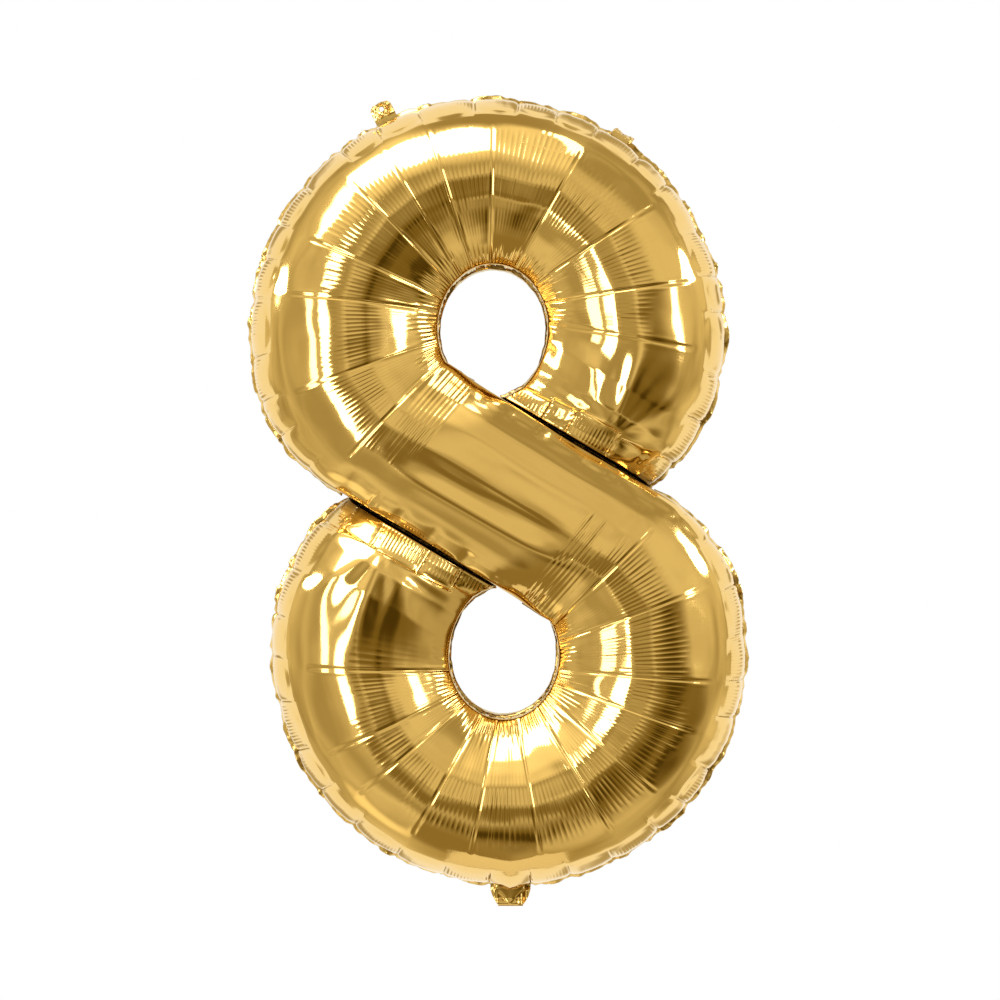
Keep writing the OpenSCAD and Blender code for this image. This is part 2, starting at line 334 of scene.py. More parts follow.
def faceted(g, nodes, cell, frac, is_lo):
    """Film drawn tight between folds: straight from one fold to the next."""
    ring = loop_section(np.array(nodes), is_lo)
    f = frac[:, None, None]
    chord = ring[cell] * (1 - f) + ring[cell + 1] * f
    full = loop_section(g, is_lo)
    inner = (cell > 0) & (cell < len(nodes) - 2)
    mask = facet_mask(loop_psi(is_lo)) * inner[:, None]
    return full + mask[..., None] * (chord - full)


def past_tip(u):
    return smooth(HOLE_TIP - 0.24, HOLE_TIP + 0.06, u)


def pressed(u):
    """Where the stroke's edge lies against a lobe: from the hole's tip on, and not at the waist."""
    return past_tip(u) * (1 - 0.5 * smooth(0.78, 1.0, u))


def waist(g):
    return WAIST_BLUNT * smooth(184, WAIST_ANGLE, g)


def pressed_waist(g):
    return 0.5 * smooth(WAIST_ANGLE - 16, WAIST_ANGLE, g)


def hole_over(g):
    return smooth(LOBE_ANGLE, LOBE_ANGLE + 22, g)


def stroke_over(u):
    return 1 - smooth(HOLE_TIP - 0.24, HOLE_TIP - 0.01, u)


def loop_psi(is_lo):
    return 180 - phi if is_lo else phi


def facet_mask(psi):
    return 0.9 * smooth(8, 40, psi) * (1 - 0.8 * smooth(118, 132, psi))


def build_base():
    up = faceted(up_g, up_nodes, up_cell, up_frac, False)
    lo = faceted(lo_g, lo_nodes, lo_cell, lo_frac, True)[::-1]
    side_a, side_b = ((1 - past_tip(u), WAIST_BLUNT * past_tip(u), stroke_over(u), pressed(u))
                      for u in (stroke_u, 1 - stroke_u))
    return np.concatenate([up, section(st_a, st_b, side_a, side_b), lo])


def film_normals(p):
    """Normals of the front film, which lie in the plane of the welds along its edges."""
    n = crossed(p)
    # the film faces away from the plane of the welds
    if np.mean(n[..., 1]) > 0:
        n = -n
    for row in (0, -1):
        n[:, row, 1] = 0
    out_a = unit(line_a - line_b)
    n[:, 0, 0], n[:, 0, 2] = out_a[:, 0], out_a[:, 1]
    n[:, -1, 0], n[:, -1, 2] = -out_a[:, 0], -out_a[:, 1]
    for col, sign in ((0, -1), (-1, 1)):
        n[col, :, 0], n[col, :, 1], n[col, :, 2] = sign * lobe_up[0], 0, sign * lobe_up[1]
    return n


# --------------------------------------------------------------------------- relief
# Degrees of loop to one pillow of the rim, and millimetres to one along a divider.
RIM_CELL = 11.3
LOBE_CELL = 42.0
STROKE_CELL = 41.0
# Heights of the relief in millimetres.
RIM_PILLOW, RIM_GROOVE, RIM_HEM = 1.9, 1.5, 0.75
RIB_HEIGHT, FAINT_RIB, GATHER_HEIGHT = 0.42, 0.07, 0.72
LOBE_PILLOW, LOBE_CREASE, LOBE_VALLEY = 1.15, 1.3, 0.65
STROKE_PILLOW, STROKE_CREASE, STROKE_RIB = 1.2, 0.9, 0.22
STREAK_RIDGE, STREAK_HOLLOW = 1.5, 2.2
# Seeds of the relief that both panels share.
RIM_SEEDS = (31, 47)
LOBE_SEEDS = (61, 77)
STROKE_SEED = 907
# Degrees at which a loop's relief gives way to the stroke's, and its rim's pillows to the waist.
STROKE_TAKES = (219, 236)
RIM_STOPS = (206, 229)


def rim_phase(g, seed):
    """Counts the pillows along the outer weld, of uneven lengths."""
    base = (g - LOBE_ANGLE) / RIM_CELL
    return base + 0.28 * noise1(base + 0.5, seed)


def shared_relief(g, psi, seed):
    """Pillows along the outer weld. Both panels share them, because they share the weld."""
    q = rim_phase(g, seed)[:, None]
    cell = np.floor(q)
    f = q - cell
    pillow = (1 - np.abs(2 * f - 1) ** 2.6) * (1 + 0.35 * per_cell(cell, seed + 1))
    reach = 150 + 5 * per_cell(cell, seed + 2)
    envelope = smooth(reach - 16, reach + 8, psi) * (1 - 0.45 * smooth(165, 180, psi))
    pinch = np.exp(-np.minimum(f, 1 - f) * RIM_CELL * math.pi / 180 * LOOP_R / 2.0)
    groove = pinch * smooth(reach - 8, reach + 6, psi)
    side = noise1(q * 9.0, seed + 3) * 0.35 + noise1(q * 23.0, seed + 4) * 0.16
    side = side * smooth(reach - 10, reach + 14, psi)
    hem_at = reach - 3 - 6 * (1 - np.abs(2 * f - 1) ** 2)
    hem = np.exp(-((psi - hem_at) / 2.4) ** 2) * (0.55 + 0.45 * per_cell(cell, seed + 6))
    return RIM_PILLOW * (pillow - 0.7) * envelope - RIM_GROOVE * groove + side - RIM_HEM * hem


# Degrees round each loop, with where its ribs end across the tube and how tall they are.
UPPER_ENDS = [-10, 10, 30, 60, 90, 120, 140, 165, 200, 228], [99, 103, 115, 126, 130, 123, 117, 107, 106, 112]
UPPER_TALL = [-10, 60, 120, 165, 200, 228], [1.1, 1.0, 1.1, 1.25, 1.1, 1.0]
LOWER_ENDS = [-10, 20, 50, 90, 130, 180, 228], [94, 98, 111, 120, 118, 113, 110]
LOWER_TALL = [-10, 50, 90, 130, 160, 200, 228], [1.5, 1.2, 1.2, 1.6, 2.4, 2.2, 1.4]


def face_relief(g, rib, s, nodes, psi, seed, ends, heights):
    """Ribs, folds, gathers at the hole, and slow waves of one panel over one loop."""
    gg, rr, ss, pp = g[:, None], rib[:, None], s[:, None], psi[None, :]
    cell = np.floor(rr)
    wave = np.abs(np.sin(np.pi * rr))
    # ribs across the crest
    start = 70 + 9 * noise1(gg / 14.0, seed + 3) + 9 * per_cell(cell, seed + 4)
    end = np.interp(gg, *ends) + 4 * noise1(gg / 12.0, seed + 5) + 3 * per_cell(cell, seed + 6)
    tall = 0.62 + 0.3 * per_cell(cell, seed + 7) + 0.25 * noise2(gg / 9.0, pp / 30.0, seed + 8)
    along = smooth(-14, 0, gg)
    ribs = RIB_HEIGHT * np.interp(gg, *heights) * (wave - 0.6) * np.clip(tall, 0.1, 1.3) * along
    ribs = ribs * smooth(start, start + 20, pp) * (1 - smooth(end - 4, end, pp))
    # a faint finer ribbing that runs on towards the hole
    faint = FAINT_RIB * (wave - 0.6) * smooth(40, 60, pp) * (1 - smooth(80, 100, pp)) * along
    # gathers at the hole
    tooth = rr / 2.1
    tcell = np.floor(tooth)
    tend = 48 + 7 * per_cell(tcell, seed + 9) + 4 * noise1(gg / 16.0, seed + 10)
    gathers = GATHER_HEIGHT * (np.abs(np.sin(np.pi * tooth)) - 0.6)
    gathers = gathers * (smooth(13, 28, pp) + 0.5 * smooth(0.5, 4, pp) * (1 - smooth(8, 12, pp)))
    gathers = gathers * (1 - smooth(tend - 9, tend, pp)) * (0.8 + 0.3 * per_cell(tcell, seed + 11))
    gathers = gathers * smooth(-18, -4, gg)
    # the crumpled wall down to the weld
    wall = 1.1 * noise2(ss / 9.0, pp / 9.0, seed + 16) + 0.5 * noise2(ss / 3.6, pp / 5.0, seed + 17)
    wall = wall * smooth(0.3, 3, pp) * (1 - smooth(8, 13, pp))
    # folds
    radius = 60 + 184 * (1 - np.cos(np.radians(pp))) / 2
    folds = 0
    for k, node_g in enumerate(nodes[1:-1]):
        gap = np.abs(gg - node_g) * math.pi / 180 * radius
        deep = 0.75 + 0.3 * per_cell(k, seed + 12)
        reach = 128 + 3 * per_cell(k, seed + 13)
        groove = -deep * np.exp(-gap / 1.1) + 0.2 * deep * np.exp(-((gap - 3.2) / 1.6) ** 2)
        folds = folds + groove * smooth(16, 26, pp) * (1 - smooth(reach - 5, reach, pp))
    # slow waves
    edge = smooth(4, 30, pp) * (1 - smooth(150, 176, pp))
    slow = 0.75 * noise2(ss / 46.0, pp / 26.0, seed + 14) + 0.22 * noise2(ss / 19.0, pp / 13.0, seed + 15)
    slow = slow * (0.2 + 0.8 * smooth(-36, -12, gg))
    return ribs + faint + gathers + wall + folds + slow * edge


def lobe_cells(e, seed):
    """Counts the pillows along a lobe's end, and gives their heights above the weld."""
    q = e / LOBE_CELL + 0.25 * noise1(e / LOBE_CELL, seed)
    return q, 24 + 5 * per_cell(np.floor(q), seed + 1)


def lobe_relief(p, seed):
    """Pillows and gathers along the weld line that closes a lobe, and the folds that fan from it."""
    flat = p[..., [0, 2]]
    d = (flat - lobe_in) @ lobe_up
    e = (flat - lobe_in) @ lobe_along
    q, band = lobe_cells(e, seed)
    f = q - np.floor(q)
    pillow = (1 - np.abs(2 * f - 1) ** 2.5)
    height = LOBE_PILLOW * (pillow - 0.5) * smooth(1, 8, d) * (1 - smooth(band - 6, band + 3, d))
    gap = np.minimum(f, 1 - f) * LOBE_CELL + 0.12 * (d - band / 2) * per_cell(np.floor(q + 0.5), seed + 3)
    crease = -LOBE_CREASE * np.exp(-np.abs(gap) / 1.4) * smooth(0, 5, d) * (1 - smooth(band, band + 5, d))
    valley = -LOBE_VALLEY * np.exp(-((d - band - 2) / 2.2) ** 2) * (0.5 + 0.5 * pillow)
    inside = smooth(0, 10, e) * (1 - smooth(LOBE_LEN - 30, LOBE_LEN - 6, e))
    # long folds that fan out from a point on the weld line's middle
    origin = lobe_in + 0.66 * LOBE_LEN * lobe_along + 22 * lobe_up
    rel = flat - origin
    angle = np.degrees(np.arctan2(rel @ lobe_up, rel @ lobe_along))
    away = np.linalg.norm(rel, axis=-1)
    at = np.array([-20, 15, 40, 62, 82, 100, 116, 138, 160, 180, 205.0])
    turn = np.array([0.3, 0.8, -0.7, 0.8, -1.0, 0.9, -0.8, 0.6, -0.8, 0.7, 0.0])
    angle = np.where(angle < -90, angle + 360, angle)
    k = np.clip(np.searchsorted(at, angle) - 1, 0, len(at) - 2)
    t = smooth(0, 1, (angle - at[k]) / (at[k + 1] - at[k]))
    fan = (turn[k] * (1 - t) + turn[k + 1] * t) * 0.024 * np.minimum(away, 70)
    fan = fan * (1 - smooth(62, 135, away)) * smooth(26, 40, d) * smooth(0, 20, away)
    return (height + crease + valley) * inside + fan


def stroke_relief(s, psi, seed, span):
    """The middle stroke: long soft waves, and ribs across each of its ends."""
    ss, pp = s[:, None], psi[None, :]
    waves = 1.7 * noise2(ss / 120.0, pp / 34.0, seed) + 0.5 * noise2(ss / 90.0, pp / 13.0, seed + 1)
    waves = waves + 0.16 * noise2(ss / 50.0, pp / 5.0, seed + 2)
    # two long streaks, a ridge and a wider hollow
    u = (ss - span[0]) / (span[1] - span[0])
    lean = 6 * (u - 0.5)
    streaks = STREAK_RIDGE * np.exp(-((pp - 114 + lean) / 7.0) ** 2)
    streaks = streaks - STREAK_HOLLOW * np.exp(-((pp - 98 + lean) / 9.0) ** 2)
    waves = waves + smooth(0.02, 0.3, u) * (1 - smooth(0.7, 0.98, u)) * streaks
    out = waves * smooth(4, 26, pp) * (1 - smooth(154, 176, pp))
    for near, across, k in ((ss - span[0], pp, 0), (span[1] - ss, 180 - pp, 1)):
        turn = near / 5.0 + 0.004 * (across - 60)
        cell = np.floor(turn)
        low = 26 + 10 * per_cell(cell, seed + 5 + k)
        high = 104 + 16 * per_cell(cell, seed + 7 + k)
        rib = (np.abs(np.sin(np.pi * turn)) - 0.6) * (0.34 + 0.16 * per_cell(cell, seed + 9 + k))
        rib = rib * smooth(low - 10, low + 4, across) * (1 - smooth(high - 10, high, across))
        out = out + rib * smooth(-2, 4, near) * (1 - smooth(34, 43, near))
    return out


def stroke_edges(s, psi, seed):
    """Pillows and short ribs along both of the stroke's welds."""
    ss, pp = s[:, None], psi[None, :]
    out = 0
    for near, k in ((pp, 0), (180 - pp, 1)):
        q = ss / STROKE_CELL + 0.5 * k + 0.2 * noise1(ss / STROKE_CELL, seed + k)
        f = q - np.floor(q)
        pillow = (1 - np.abs(2 * f - 1) ** 2.5)
        reach = 38 + 5 * per_cell(np.floor(q), seed + 2 + k)
        inner = smooth(14, 24, near) * (1 - smooth(reach - 8, reach + 2, near))
        crease = np.exp(-np.minimum(f, 1 - f) * STROKE_CELL / 1.5)
        crease = crease * smooth(8, 18, near) * (1 - smooth(reach - 4, reach, near))
        out = out + STROKE_PILLOW * (pillow - 0.5) * inner - STROKE_CREASE * crease
        striped = np.clip(0.4 + per_cell(np.floor(q), seed + 4 + k), 0, 1)
        out = out + STROKE_RIB * striped * (np.abs(np.sin(np.pi * ss / 5.6)) - 0.6) * inner
    return out


def arc_length(p):
    mid = p[:, ROWS // 2]
    step = np.linalg.norm(np.diff(mid, axis=0), axis=1)
    return np.concatenate([[0], np.cumsum(step)])


def carried_on(values, step):
    """A loop's values, carried on in even steps over the columns past its waist."""
    return np.concatenate([values, values[-1] + step * np.arange(1, COLS - len(values) + 1)])


def film_points(seed, dip_from):
    """One panel's points, as the front one's. The back panel mirrors its own set."""
    base = build_base()
    s = arc_length(base)
    normal = film_normals(base)
    relief = np.zeros(base.shape[:2])
    psi_up, psi_lo = loop_psi(False), loop_psi(True)
    up_full_g, up_full_rib = carried_on(up_g, 0.9), carried_on(up_rib, 0.5)
    lo_full_g, lo_full_rib = carried_on(lo_g, 0.9)[::-1], carried_on(lo_rib, 0.5)[::-1]
    up_side = 1 - smooth(*STROKE_TAKES, up_full_g)
    lo_side = 1 - smooth(*STROKE_TAKES, lo_full_g)
    up_rel = face_relief(up_full_g, up_full_rib, s, up_nodes, psi_up, seed, UPPER_ENDS, UPPER_TALL)
    lo_rel = face_relief(lo_full_g, lo_full_rib, s[::-1], lo_nodes, psi_lo, seed + 100, LOWER_ENDS,
                         LOWER_TALL)
    relief += up_side[:, None] * up_rel + lo_side[:, None] * lo_rel
    middle = np.clip(1 - up_side - lo_side, 0, 1)
    relief += middle[:, None] * stroke_relief(s, phi, seed + 200, (s[NU], s[NU + NS - 1]))
    in_stroke = smooth(s[NU] + 8, s[NU] + 50, s) * (1 - smooth(s[NU + NS] - 50, s[NU + NS] - 8, s))
    relief += in_stroke[:, None] * stroke_edges(s, phi, STROKE_SEED)
    for g, psi, k in ((up_full_g, psi_up, RIM_SEEDS[0]), (lo_full_g, psi_lo, RIM_SEEDS[1])):
        relief += (1 - smooth(*RIM_STOPS, g))[:, None] * shared_relief(g, psi, k)
    on_up, on_lo = np.zeros((COLS, 1)), np.zeros((COLS, 1))
    on_up[UP] = (1 - smooth(0, 14, up_g))[:, None]
    on_lo[LO] = (1 - smooth(0, 14, lo_g[::-1]))[:, None]
    turned = base * np.array([-1, 1, -1])
    relief += on_up * lobe_relief(base, LOBE_SEEDS[0]) + on_lo * lobe_relief(turned, LOBE_SEEDS[1])
    # the film runs down into the filling neck
    dip = np.exp(-(np.abs(base[..., 0] - NECK_SIDE) / 15.0) ** 1.6) * (base[..., 2] < DIP_BELOW)
    dip = dip * smooth(dip_from, 176, psi_lo)
    # nothing moves the film off its weld lines at the lobes' ends
    col = np.arange(COLS)
    relief *= (smooth(0, 5, col) * smooth(0, 5, COLS - 1 - col))[:, None]
    points = base + normal * relief[..., None]
    points[..., 2] -= NECK_DIP * dip
    return points


def rim_marks(seed):
    """Where the panel's material draws fine ribs and creases on the pillows: a length along the weld,
    a count of the pillows, and the shares of ribs and creases."""
    along, count, ladder, crease = (np.zeros((COLS, ROWS)) for _ in range(4))
    loops = ((UP, up_g, loop_psi(False), RIM_SEEDS[0]), (LO, lo_g[::-1], loop_psi(True), RIM_SEEDS[1]))
    for part, g, psi, k in loops:
        q = rim_phase(g, k)
        cell = np.floor(q)
        s = np.radians(g) * LOOP_R
        reach = (150 + 5 * per_cell(cell, k + 2))[:, None]
        band = smooth(reach - 6, reach + 5, psi)
        fade = (1 - smooth(198, 218, g))[:, None]
        some = np.clip(0.15 + 1.3 * per_cell(cell, seed + 3), 0, 1)[:, None]
        along[part] = s[:, None]
        count[part] = q[:, None]
        ladder[part] = band * (1 - smooth(168, 176, psi)) * some * fade
        crease[part] = smooth(reach - 12, reach + 2, psi) * fade
    base = build_base()
    for (part, g, _, _), turn, k in zip(loops, (1, -1), LOBE_SEEDS):
        flat = base[part][..., [0, 2]] * turn
        d, e = (flat - lobe_in) @ lobe_up, (flat - lobe_in) @ lobe_along
        q, band = lobe_cells(e, k)
        near = (d < band + 4) & (e < LOBE_LEN - 14) & (g < 40)[:, None]
        some = np.clip(0.9 + 0.8 * per_cell(np.floor(q), k + 4), 0, 1.3)
        along[part] = np.where(near, e, along[part])
        count[part] = np.where(near, q, count[part])
        short = 1 - smooth(LOBE_LEN - 70, LOBE_LEN - 40, e)
        rungs = some * short * smooth(2, 7, d) * (1 - smooth(band - 9, band - 1, d))
        pinches = short * smooth(0, 5, d) * (1 - smooth(band, band + 4, d))
        ladder[part] = np.where(near, rungs, ladder[part])
        crease[part] = np.where(near, pinches, crease[part])
    return {"rim_along": along, "rim_count": count, "rim_ladder": ladder, "rim_crease": crease}


def make_mesh(name, verts, faces, material, smooth_shade=True):
    mesh = bpy.data.meshes.new(name)
    mesh.from_pydata((verts * MM).tolist(), [], faces)
    mesh.validate()
    mesh.update()
    if smooth_shade:
        mesh.polygons.foreach_set("use_smooth", [True] * len(mesh.polygons))
    obj = bpy.data.objects.new(name, mesh)
    bpy.context.scene.collection.objects.link(obj)
    mesh.materials.append(material)
    return obj


def grid_faces(cols, rows, flip=False):
    i, j = np.meshgrid(np.arange(cols - 1), np.arange(rows - 1), indexing="ij")
    a = (i * rows + j).ravel()
    quads = np.stack([a, a + rows, a + rows + 1, a + 1], axis=1)
    return (quads[:, ::-1] if flip else quads).tolist()


def border(n, m):
    """Indices round the outside of a grid of n columns and m rows."""
    ring = [i * m for i in range(n)] + [(n - 1) * m + j for j in range(1, m)]
    return ring + [i * m + m - 1 for i in range(n - 2, -1, -1)] + list(range(m - 2, 0, -1))


def in_frame(p):
    """Figure millimetres to the model's frame."""
    return np.asarray(p) + [0, 0, SHIFT_Z]


# --------------------------------------------------------------------------- materials
def add_node(tree, kind, inputs):
    """A shader node whose inputs are each linked to a socket or set to a value."""
    node = tree.nodes.new("ShaderNode" + kind)
    for name, given in inputs.items():
        if isinstance(given, bpy.types.NodeSocket):
            tree.links.new(given, node.inputs[name])
        else:
            node.inputs[name].default_value = given
    return node


def noise_node(tree, coord, scale, detail=2.0):
    return add_node(tree, "TexNoise", {"Vector": coord, "Scale": scale, "Detail": detail})


def ranged(tree, value, low, high, to_low=0.0, to_high=1.0, kind="LINEAR"):
    node = add_node(tree, "MapRange", {"Value": value, "From Min": low, "From Max": high,
                                       "To Min": to_low, "To Max": to_high})
    node.interpolation_type = kind
    return node.outputs["Result"]


def bumped(tree, strength, distance, height, below=None):
    bump = add_node(tree, "Bump", {"Strength": strength, "Distance": distance, "Height": height})
    if below:
        tree.links.new(below, bump.inputs["Normal"])
    return bump.outputs["Normal"]


def colour_mix(tree, below, above, factor):
    """Two colours, each a tuple or a socket, mixed by a factor socket."""
    mix = add_node(tree, "Mix", {"Factor": factor})
    mix.data_type = "RGBA"
    for socket, given in (("A", below), ("B", above)):
        if isinstance(given, tuple):
            mix.inputs[socket].default_value = (*given, 1)
        else:
            tree.links.new(given, mix.inputs[socket])
    return mix.outputs["Result"]


def new_material(name):
    mat = bpy.data.materials.new(name)
    mat.use_nodes = True
    tree = mat.node_tree
    tree.nodes.clear()
    bsdf = add_node(tree, "BsdfPrincipled", {})
    add_node(tree, "OutputMaterial", {"Surface": bsdf.outputs["BSDF"]})
    return mat, tree, bsdf


def rim_height(tree):
    """Height of the fine ribs and pinch creases on the rim's pillows."""
    def value(op, *given):
        node = add_node(tree, "Math", dict(enumerate(given)))
        node.operation = op
        return node.outputs[0]

    def mark(name):
        node = add_node(tree, "Attribute", {})
        node.attribute_name = name
        return node.outputs["Fac"]

    wave = value("ABSOLUTE", value("SINE", value("MULTIPLY", mark("rim_along"), math.pi / 3.7)))
    ribs = value("MULTIPLY", value("MULTIPLY", wave, mark("rim_ladder")), 0.35)
    part = value("FRACT", mark("rim_count"))
    near = value("MINIMUM", part, value("SUBTRACT", 1.0, part))
    ridge = value("MINIMUM", value("MULTIPLY", near, 34.0), 1.0)
    return value("ADD", ribs, value("MULTIPLY", ridge, mark("rim_crease")))


# Painted shade: a darker gold laid into narrow grooves and hollows by an occlusion mask, standing in for the
# light that many reflections darken there.
PAINTED_SHADE_GOLD = (0.30, 0.20, 0.068)
PAINTED_SHADE_REACH = 0.13


def foil_material(name, pale, dark, rough, grain, dents, dent_scale, rim=False):
    """Metallised film: a mirror coat with faint clouds of colour and haze, fine dents, and painted shade
    darkening its grooves.
    """
    mat, tree, bsdf = new_material(name)
    coord = add_node(tree, "TexCoord", {}).outputs["Object"]
    cloud = noise_node(tree, coord, 14.0, 3.0)
    open_gold = colour_mix(tree, dark, pale, cloud.outputs["Fac"])
    # painted shade: occlusion darkens the gold in grooves, on the holes' walls and in the dividers' valleys
    painted_shade = add_node(tree, "AmbientOcclusion", {"Distance": PAINTED_SHADE_REACH})
    painted_shade.samples = 8
    unshaded_share = ranged(tree, painted_shade.outputs["AO"], 0.2, 0.85, kind="SMOOTHSTEP")
    tree.links.new(colour_mix(tree, PAINTED_SHADE_GOLD, open_gold, unshaded_share), bsdf.inputs["Base Color"])
    bsdf.inputs["Metallic"].default_value = 1.0
    haze = noise_node(tree, coord, 55.0, 4.0)
    tree.links.new(ranged(tree, haze.outputs["Fac"], 0.0, 1.0, rough * 0.7, rough * 1.35),
                   bsdf.inputs["Roughness"])
    normal = bumped(tree, dents, 0.0006, noise_node(tree, coord, dent_scale).outputs["Fac"])
    normal = bumped(tree, grain, 0.0001, noise_node(tree, coord, 900.0).outputs["Fac"], normal)
    if rim:
        normal = bumped(tree, 1.0, 0.0011, rim_height(tree), normal)
    tree.links.new(normal, bsdf.inputs["Normal"])
    return mat


PALE_GOLD = (0.92, 0.64, 0.235)
DEEP_GOLD = (0.88, 0.59, 0.19)
gold = foil_material("gold_foil", PALE_GOLD, DEEP_GOLD, 0.075, 0.10, 0.12, 42.0)
panel_gold = foil_material("gold_foil_panel", PALE_GOLD, DEEP_GOLD, 0.075, 0.10, 0.12, 42.0, rim=True)
weld = foil_material("gold_weld", (0.95, 0.68, 0.26), (0.86, 0.58, 0.18), 0.16, 0.2, 0.5, 160.0)

# --------------------------------------------------------------------------- panels
FRONT_SEED, BACK_SEED = 11, 523
# Degrees across the tube from where each film runs down into the neck.
FRONT_DIP, BACK_DIP = 118, 160
# Half the gap between the two films at their welds.
EDGE_GAP = 0.05
front = in_frame(film_points(FRONT_SEED, FRONT_DIP))
back = in_frame(film_points(BACK_SEED, BACK_DIP)) * np.array([1, -1, 1])
front[..., 1] -= EDGE_GAP
back[..., 1] += EDGE_GAP
front_obj = make_mesh("front_film", front.reshape(-1, 3), grid_faces(COLS, ROWS), panel_gold)
back_obj = make_mesh("back_film", back.reshape(-1, 3), grid_faces(COLS, ROWS, True), panel_gold)
for film, node, seed in ((front_obj, "front_panel", FRONT_SEED), (back_obj, "back_panel", BACK_SEED)):
    for name, values in rim_marks(seed).items():
        layer = film.data.attributes.new(name, "FLOAT", "POINT")
        layer.data.foreach_set("value", values.ravel().astype(np.float32))
    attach(film, "balloon")
    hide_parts(node)

# --------------------------------------------------------------------------- welds
# Thickness of a weld, and how far it reaches in under the films.
WELD_THICK, WELD_TUCK = 0.14, 0.4
EDGE = front.copy()
EDGE[..., 1] = 0


def ribbon(name, strips):
    """Thin closed strips of weld. Each is a (columns, rows, 3) grid of middle points."""
    verts, faces, base = [], [], 0
    for grid in strips:
        n, m = grid.shape[:2]
        for side in (1, -1):
            verts.append((grid + side * crossed(grid) * WELD_THICK / 2).reshape(-1, 3))
        size = n * m
        for q in grid_faces(n, m):
            faces.append([v + base for v in q])
            faces.append([v + base + size for v in q[::-1]])
        rim = border(n, m)
        for a, b in zip(rim, rim[1:] + rim[:1]):
            faces.append([base + b, base + a, base + a + size, base + b + size])
        base += 2 * size
    return make_mesh(name, np.concatenate(verts), faces, weld)


def edge_strip(line, outward, width, rows, wave, seed, lean, flare=0.0):
    """A crinkled margin that grows outward from a weld line, and stands up crumpled where flare is 1."""
    flare = np.broadcast_to(flare, (len(line),))
    wave = wave * (1 + 1.6 * flare)[:, None]
    lean = lean * (1 - 0.9 * flare)
    step = np.linalg.norm(np.diff(line, axis=0), axis=1)
    s = np.concatenate([[0], np.cumsum(step)])
    v = np.linspace(0, 1, rows)
    grow = smooth(0, 1, v) * 0.4 + v * 0.6
    y = wave * (0.55 * noise1(s / 13.0, seed) + 0.35 * noise1(s / 5.5, seed + 1)
                + 0.15 * noise1(s / 2.6, seed + 2))[:, None] * grow
    tilt = np.radians(lean + 18 * noise1(s / 17.0, seed + 3) + 12 * noise1(s / 6.0, seed + 5))
    reach = width * v * (1 - 0.10 * (1 + noise1(s / 9.0, seed + 4))[:, None])
    reach[:, 0] = -WELD_TUCK
    out = reach * np.cos(tilt)[:, None] - y * 0.4 * np.sin(tilt)[:, None]
    grid = line[:, None, :] + out[..., None] * outward[:, None, :]
    grid[..., 1] += y * np.cos(tilt)[:, None] + np.maximum(reach, 0) * np.sin(tilt)[:, None]
    return grid


def away_from(centre, line):
    """Smoothed normals of a weld line in its own plane, on the side that faces away from centre."""
    t = np.gradient(line, axis=0)
    n = np.stack([t[:, 2], np.zeros(len(t)), -t[:, 0]], axis=-1)
    n = unit(n)
    pad = np.concatenate([np.repeat(n[:1], 12, 0), n, np.repeat(n[-1:], 12, 0)])
    n = unit(np.stack([np.convolve(pad[:, k], hann(25), "valid") for k in range(3)], axis=-1))
    away = line - in_frame([centre[0], 0, centre[1]])
    return -n if np.sum(n * away) < 0 else n


def flared(g, places, seed):
    """Where the outer margin stands up: a few known crumpled places and some random ones."""
    out = 0.8 * smooth(0.45, 0.75, noise1(g / 4.2, seed))
    for at, width, share in places:
        out = np.maximum(out, share * np.exp(-((g - at) / width) ** 2))
    return out


UP_FLARE = flared(up_g, ((51, 8, 1.0), (66, 3, 0.9), (40, 2.5, 0.9), (1, 3, 1.0), (160, 4, 0.8)), 263)
LO_FLARE = flared(lo_g, ((21, 2.5, 0.9), (203, 6, 0.7), (150, 6, 0.8)), 269)[::-1]


def outer_strip(line, turn, seed, flare):
    return edge_strip(line, away_from(turn * LOOP_C, line), MARGIN, 6, 1.6, seed, 55, flare)


def hole_strip(line, turn, seed):
    return edge_strip(line, -away_from(turn * HOLE_C, line), HOLE_MARGIN, 5, 0.8, seed, 40)


def divider_strip(sign):
    """The weld between a lobe's end and the middle stroke."""
    t = np.linspace(0, 1, 90)
    a = lobe_in + t[:, None] * (lobe_out - lobe_in)
    b = stroke_edge(HOLE_TIP + t * (1 - HOLE_TIP))
    v = np.linspace(-0.1, 1.1, 5)
    flat = a[:, None, :] * (1 - v[:, None]) + b[:, None, :] * v[:, None]
    y = 0.5 * noise2(t[:, None] * 30, v * 2, 251 + sign)
    return in_frame(np.stack([sign * flat[..., 0], y, sign * flat[..., 1]], axis=-1))


past_hole = int(NS * HOLE_TIP) + 2
margins = (
    ("outer_margin", "outer_seam", [outer_strip(EDGE[:NU, -1], 1, 211, UP_FLARE),
                                    outer_strip(EDGE[NU + NS:, 0], -1, 223, LO_FLARE)]),
    ("upper_hole_margin", "upper_hole_seam", [hole_strip(EDGE[:NU + past_hole, 0], 1, 231)]),
    ("lower_hole_margin", "lower_hole_seam", [hole_strip(EDGE[NU + NS - past_hole:, -1], -1, 239)]),
    ("upper_divider_weld", "upper_divider_seam", [divider_strip(1)]),
    ("lower_divider_weld", "lower_divider_seam", [divider_strip(-1)]),
)
for name, node, strips in margins:
    strip_obj = ribbon(name, strips)
    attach(strip_obj, "balloon")
    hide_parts(node)

# --------------------------------------------------------------------------- tabs and neck
def facets2(x, y, seed):
    """Noise with sharp creases, for crumpled foil."""
    table = lattice(seed)
    x, y = np.broadcast_arrays(0.83 * x + 0.56 * y, 0.83 * y - 0.56 * x)
    i, j = np.floor(x).astype(int), np.floor(y).astype(int)
    fx, fy = x - i, y - j

    def at(a, b):
        return table[(a * 131 + b * 977) % TABLE]

    here, far = at(i, j), at(i + 1, j + 1)
    right, above = at(i + 1, j), at(i, j + 1)
    return np.where(fx > fy, here + (right - here) * fx + (far - right) * fy,
                    here + (above - here) * fy + (far - above) * fx)


